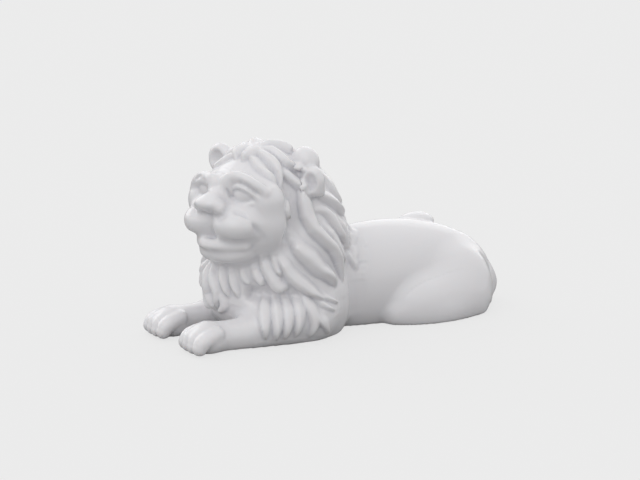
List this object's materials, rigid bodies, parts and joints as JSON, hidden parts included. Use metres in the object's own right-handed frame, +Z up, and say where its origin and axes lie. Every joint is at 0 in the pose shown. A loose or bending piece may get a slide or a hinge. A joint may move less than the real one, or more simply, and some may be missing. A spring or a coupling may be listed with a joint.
{
  "type": "porcelain lion figurine",
  "caption": "Small white glazed porcelain figurine of a lying lion with a carved mane, head raised and turned aside, forelegs stretched out, resting on a flat underside.",
  "frame": {"origin": "a point on the flat underside below the front of the trunk", "axes": "+Y runs from the forepaws to the tail, so the lion lies facing -Y with its head turned towards its own left, +X; +Z is up"},
  "size_m": [0.0612, 0.1581, 0.0797],
  "materials": {
    "white_glaze": "glossy white porcelain glaze, a touch cool, pooled slightly darker in the carving"
  },
  "bodies": {
    "root": {"lion": "white_glaze"}
  },
  "joints": []
}
